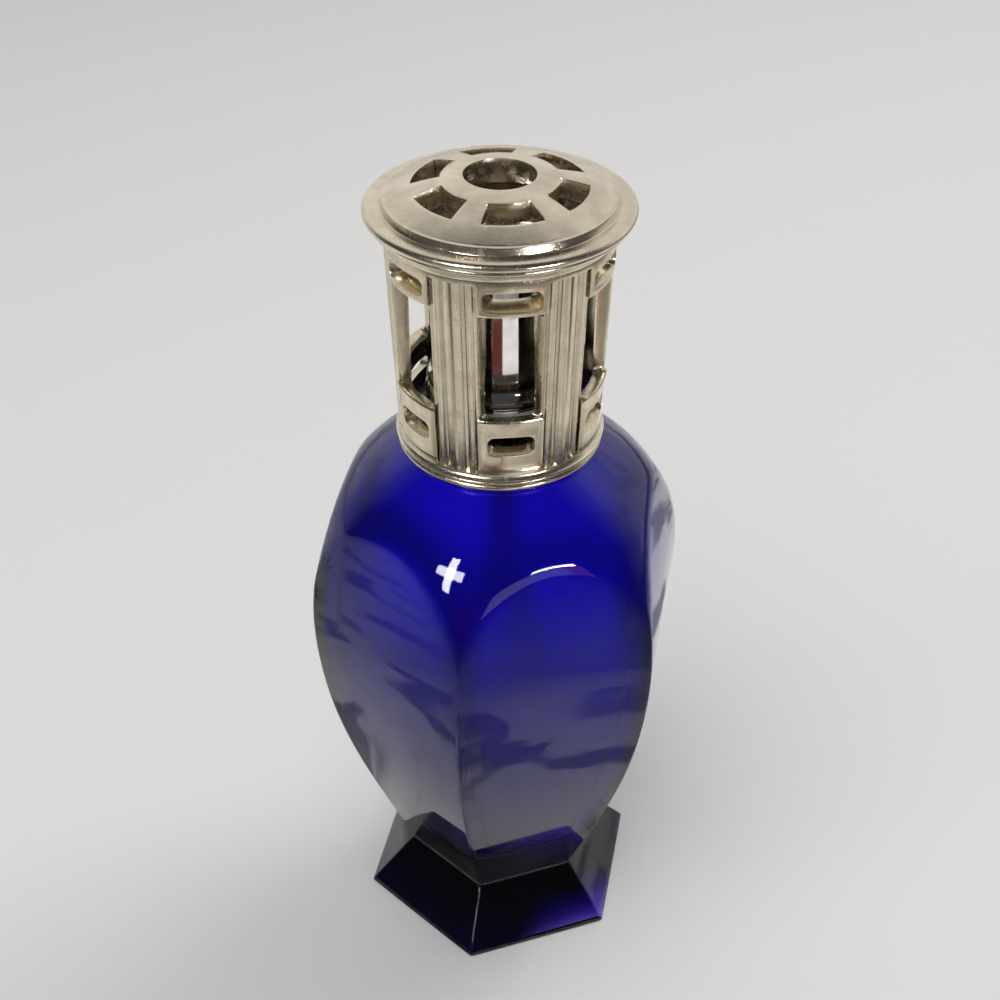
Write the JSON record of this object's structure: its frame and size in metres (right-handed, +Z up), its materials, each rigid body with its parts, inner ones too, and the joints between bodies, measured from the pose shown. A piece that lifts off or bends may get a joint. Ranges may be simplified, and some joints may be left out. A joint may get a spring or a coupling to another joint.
{
  "type": "catalytic fragrance lamp",
  "caption": "Faceted cobalt glass fragrance lamp on a hexagonal foot, with a porous wick burner, a snuffer cap and a pierced metal shroud with a vented lid.",
  "frame": {"origin": "middle of the foot's underside, which is the lowest face", "axes": "+Z up along the lamp's axis; one corner of the hexagonal foot points to -Y"},
  "size_m": [0.07, 0.0808, 0.1806],
  "materials": {
    "cobalt_glass": "clear deep blue, fire polished",
    "collar_cement": "white plaster cement",
    "collar_metal": "polished nickel plate",
    "gasket_rubber": "matt translucent silicone",
    "sleeve_metal": "spun, bright",
    "burner_ceramic": "porous, unglazed",
    "wick_cotton": "braided cotton",
    "polished_nickel": "mirror polished",
    "cast_nickel": "satin warm nickel plate on a die casting"
  },
  "bodies": {
    "bottle": {"bottle": "cobalt_glass", "bottle_neck": "cobalt_glass", "collar_cement": "collar_cement", "neck_collar": "collar_metal", "collar_skirt": "collar_metal", "seat_gasket": "gasket_rubber"},
    "burner": {"burner_sleeve": "sleeve_metal", "burner_stone": "burner_ceramic", "wick": "wick_cotton"},
    "snuffer": {"snuffer_cap": "polished_nickel"},
    "shroud": {"base_ring": "cast_nickel", "shroud_cage": "cast_nickel", "lid_rim": "cast_nickel", "vent_plate": "cast_nickel"}
  },
  "joints": [
    {"name": "burner_lift", "type": "slide", "parent": "bottle", "child": "burner", "axis": [0, 0, 1], "range_m": [0, 0.13]},
    {"name": "snuffer_lift", "type": "slide", "parent": "burner", "child": "snuffer", "axis": [0, 0, 1], "range_m": [0, 0.04]},
    {"name": "shroud_lift", "type": "slide", "parent": "snuffer", "child": "shroud", "axis": [0, 0, 1], "range_m": [0, 0.06]}
  ]
}
